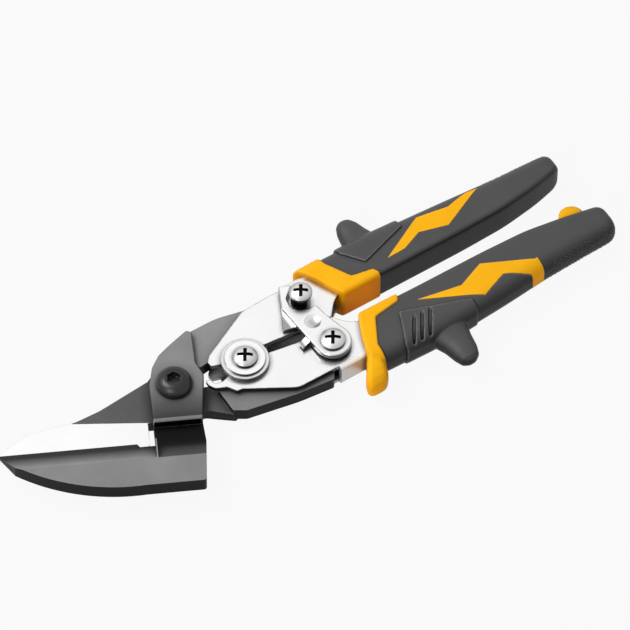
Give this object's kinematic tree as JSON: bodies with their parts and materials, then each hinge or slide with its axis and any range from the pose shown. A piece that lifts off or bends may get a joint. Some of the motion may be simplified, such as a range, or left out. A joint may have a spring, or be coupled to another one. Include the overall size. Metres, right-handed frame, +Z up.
{
  "type": "aviation_snips",
  "caption": "Compound-leverage sheet-metal snips with an offset jaw, a thumb latch holding the plated handles shut, and orange and black moulded grips",
  "frame": {"origin": "on the blade pivot's axis, in the plane that the snips rest on", "axes": "+X from the blade pivot along the handles' centre line to the grips, +Y to the upper handle's side, +Z up, out of the side with the bolt's socket and the latch"},
  "size_m": [0.254, 0.081, 0.023],
  "materials": {
    "blade_steel": "forged, bead blasted and ground on the cutting faces",
    "black_oxide": "black oxide",
    "nickel_plate": "satin nickel plate on pressed sheet steel",
    "zinc_plate": "bright zinc plate",
    "spring_steel": "spring steel",
    "orange_plastic": "moulded hard plastic",
    "black_rubber": "soft overmould with a fine grain"
  },
  "bodies": {
    "lower_handle": {"lower_handle": "nickel_plate", "handle_pivot_screw": "zinc_plate", "handle_pivot_washer": "zinc_plate", "handle_pivot_nut": "zinc_plate", "handle_pivot_bush": "zinc_plate", "return_spring": "spring_steel", "lower_link_screw": "zinc_plate", "lower_link_nut": "zinc_plate", "lower_link_bush": "zinc_plate", "latch_wave_washer": "spring_steel", "lower_grip_core": "orange_plastic", "lower_grip_sleeve": "black_rubber", "lower_finger_guard": "black_rubber"},
    "upper_handle": {"upper_handle": "nickel_plate", "upper_link_screw": "zinc_plate", "upper_link_nut": "zinc_plate", "upper_link_bush": "zinc_plate", "catch_collar": "zinc_plate", "upper_grip_core": "orange_plastic", "upper_grip_sleeve": "black_rubber", "upper_finger_guard": "black_rubber"},
    "upper_blade": {"upper_blade": "blade_steel", "blade_bolt": "black_oxide", "blade_nut": "black_oxide"},
    "lower_blade": {"lower_blade": "blade_steel"},
    "latch": {"latch": "nickel_plate"}
  },
  "joints": [
    {"name": "handle_open", "type": "hinge", "parent": "lower_handle", "child": "upper_handle", "pos_m": [0.0281, -0.00545, 0.0085], "axis": [0, 0, 1], "range_deg": [0, 30]},
    {"name": "upper_blade", "type": "hinge", "parent": "lower_handle", "child": "upper_blade", "pos_m": [0.0601, -0.0168, 0.0085], "axis": [0, 0, 1], "range_deg": [0, 9.68]},
    {"name": "lower_blade", "type": "hinge", "parent": "upper_blade", "child": "lower_blade", "pos_m": [0, 0, 0.0085], "axis": [0, 0, 1], "range_deg": [0, 15.38]},
    {"name": "latch", "type": "hinge", "parent": "lower_handle", "child": "latch", "pos_m": [0.0601, -0.0168, 0.0085], "axis": [0, 0, 1], "range_deg": [0, 40.5]}
  ],
  "couplings": [
    {"joint": "upper_blade", "follows": "handle_open", "ratio": 0.3225},
    {"joint": "lower_blade", "follows": "handle_open", "ratio": 0.5125},
    {"joint": "latch", "follows": "handle_open", "ratio": 1.35}
  ]
}
